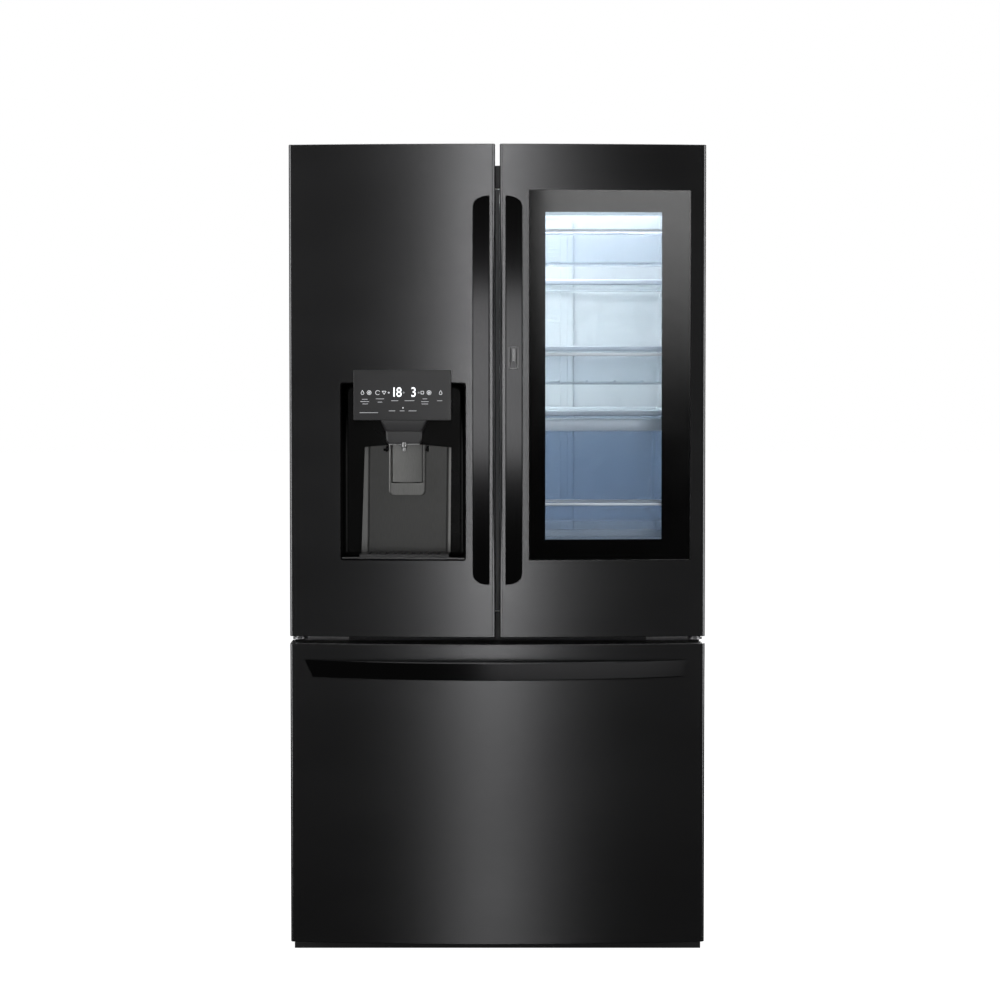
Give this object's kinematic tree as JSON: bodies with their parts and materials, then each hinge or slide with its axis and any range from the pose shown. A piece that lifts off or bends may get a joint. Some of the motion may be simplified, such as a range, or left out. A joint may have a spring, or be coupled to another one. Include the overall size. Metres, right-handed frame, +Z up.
{
  "type": "french door refrigerator",
  "caption": "Free-standing refrigerator with two hinged upper doors, a door-in-door window leaf, an ice and water dispenser and a freezer drawer below.",
  "frame": {"origin": "on the floor under the middle of the whole, doors and handles counted", "axes": "+Z up, -Y towards a person in front of the doors, +X to that person's right"},
  "size_m": [0.9072, 0.899, 1.784],
  "materials": {
    "case_paint": "satin",
    "dark_steel": "satin",
    "handle_metal": "gloss",
    "foam": "matte",
    "white_liner": "satin",
    "galvanised": "satin",
    "black_plastic": "satin",
    "gloss_black": "gloss",
    "hinge_steel": "satin",
    "compressor_black": "satin",
    "copper_fins": "satin",
    "clear_plastic": "gloss",
    "shelf_glass": "gloss",
    "door_glass": "gloss",
    "light": "gloss",
    "gasket": "matte",
    "grey_plastic": "satin",
    "zinc": "satin"
  },
  "bodies": {
    "cabinet": {"case_panels": "case_paint", "front_frame": "case_paint", "cabinet_foam": "foam", "liners": "white_liner", "base_frame": "galvanised", "kick_plate": "black_plastic", "front_feet": "zinc", "door_hinges": "hinge_steel", "hinge_covers": "black_plastic", "compressor": "compressor_black", "condenser": "copper_fins", "fan_motor": "galvanised", "drain_pan": "grey_plastic", "machine_cover": "galvanised", "inlet_valve": "grey_plastic", "cord_gland": "black_plastic", "duct_covers": "white_liner", "evaporator": "copper_fins", "shelf_frames": "white_liner", "shelf_panes": "shelf_glass", "ceiling_light": "light", "water_filter": "white_liner", "slide_rails": "galvanised"},
    "rollers": {"rear_rollers": "grey_plastic"},
    "fan": {"condenser_fan": "grey_plastic"},
    "crisper_l": {"crisper_left": "clear_plastic"},
    "crisper_r": {"crisper_right": "clear_plastic"},
    "pantry": {"pantry_drawer": "clear_plastic"},
    "tray": {"freezer_tray": "clear_plastic"},
    "left_door": {"left_skin": "dark_steel", "left_core": "white_liner", "left_gasket": "gasket", "left_handle": "handle_metal", "dispenser_tub": "gloss_black", "display_panel": "gloss_black", "dispenser_spouts": "black_plastic", "drip_tray": "black_plastic", "ice_room": "white_liner", "ice_bin": "clear_plastic", "left_bins": "clear_plastic"},
    "paddle": {"dispenser_paddle": "black_plastic"},
    "mullion": {"flip_mullion": "black_plastic"},
    "right_door": {"right_frame": "white_liner", "right_gasket": "gasket", "frame_bins": "clear_plastic", "frame_cover": "clear_plastic", "leaf_hinges": "hinge_steel"},
    "leaf": {"leaf_skin": "dark_steel", "leaf_core": "black_plastic", "leaf_glass": "door_glass", "leaf_gasket": "gasket", "right_handle": "handle_metal"},
    "button": {"latch_button": "handle_metal"},
    "drawer": {"drawer_skin": "dark_steel", "drawer_core": "white_liner", "drawer_gasket": "gasket", "drawer_handle": "handle_metal", "drawer_basket": "white_liner", "drawer_rails": "galvanised"},
    "slide_mid": {"slide_middles": "galvanised"}
  },
  "joints": [
    {"name": "left_door_hinge", "type": "hinge", "parent": "cabinet", "child": "left_door", "pos_m": [-0.436, -0.318, 1.2], "axis": [0, 0, -1], "range_deg": [0, 105]},
    {"name": "mullion_fold", "type": "hinge", "parent": "left_door", "child": "mullion", "pos_m": [-0.056, -0.278, 1.2], "axis": [0, 0, 1], "range_deg": [0, 85]},
    {"name": "paddle_hinge", "type": "hinge", "parent": "left_door", "child": "paddle", "pos_m": [-0.203, -0.335, 1.121], "axis": [1, 0, 0], "range_deg": [0, 10], "stiffness_Nm_per_rad": 0.8},
    {"name": "right_door_hinge", "type": "hinge", "parent": "cabinet", "child": "right_door", "pos_m": [0.436, -0.318, 1.2], "axis": [0, 0, 1], "range_deg": [0, 105]},
    {"name": "leaf_hinge", "type": "hinge", "parent": "right_door", "child": "leaf", "pos_m": [0.438, -0.357, 1.2], "axis": [0, 0, 1], "range_deg": [0, 85]},
    {"name": "latch_press", "type": "slide", "parent": "leaf", "child": "button", "axis": [0, 1, 0], "range_m": [0, 0.003], "stiffness_N_per_m": 600},
    {"name": "freezer_slide", "type": "slide", "parent": "cabinet", "child": "drawer", "axis": [0, -1, 0], "range_m": [0, 0.4]},
    {"name": "slide_mid_travel", "type": "slide", "parent": "cabinet", "child": "slide_mid", "axis": [0, -1, 0], "range_m": [0, 0.2]},
    {"name": "tray_slide", "type": "slide", "parent": "cabinet", "child": "tray", "axis": [0, -1, 0], "range_m": [0, 0.2]},
    {"name": "crisper_l_slide", "type": "slide", "parent": "cabinet", "child": "crisper_l", "axis": [0, -1, 0], "range_m": [0, 0.05]},
    {"name": "crisper_r_slide", "type": "slide", "parent": "cabinet", "child": "crisper_r", "axis": [0, -1, 0], "range_m": [0, 0.05]},
    {"name": "pantry_slide", "type": "slide", "parent": "cabinet", "child": "pantry", "axis": [0, -1, 0], "range_m": [0, 0.05]},
    {"name": "fan_spin", "type": "hinge", "parent": "cabinet", "child": "fan", "pos_m": [-0.02, 0.345, 0.17], "axis": [1, 0, 0], "continuous": true},
    {"name": "roller_spin", "type": "hinge", "parent": "cabinet", "child": "rollers", "pos_m": [0, 0.38, 0.02], "axis": [1, 0, 0], "continuous": true}
  ],
  "couplings": [
    {"joint": "mullion_fold", "follows": "left_door_hinge", "ratio": 0.8095},
    {"joint": "slide_mid_travel", "follows": "freezer_slide", "ratio": 0.5}
  ]
}
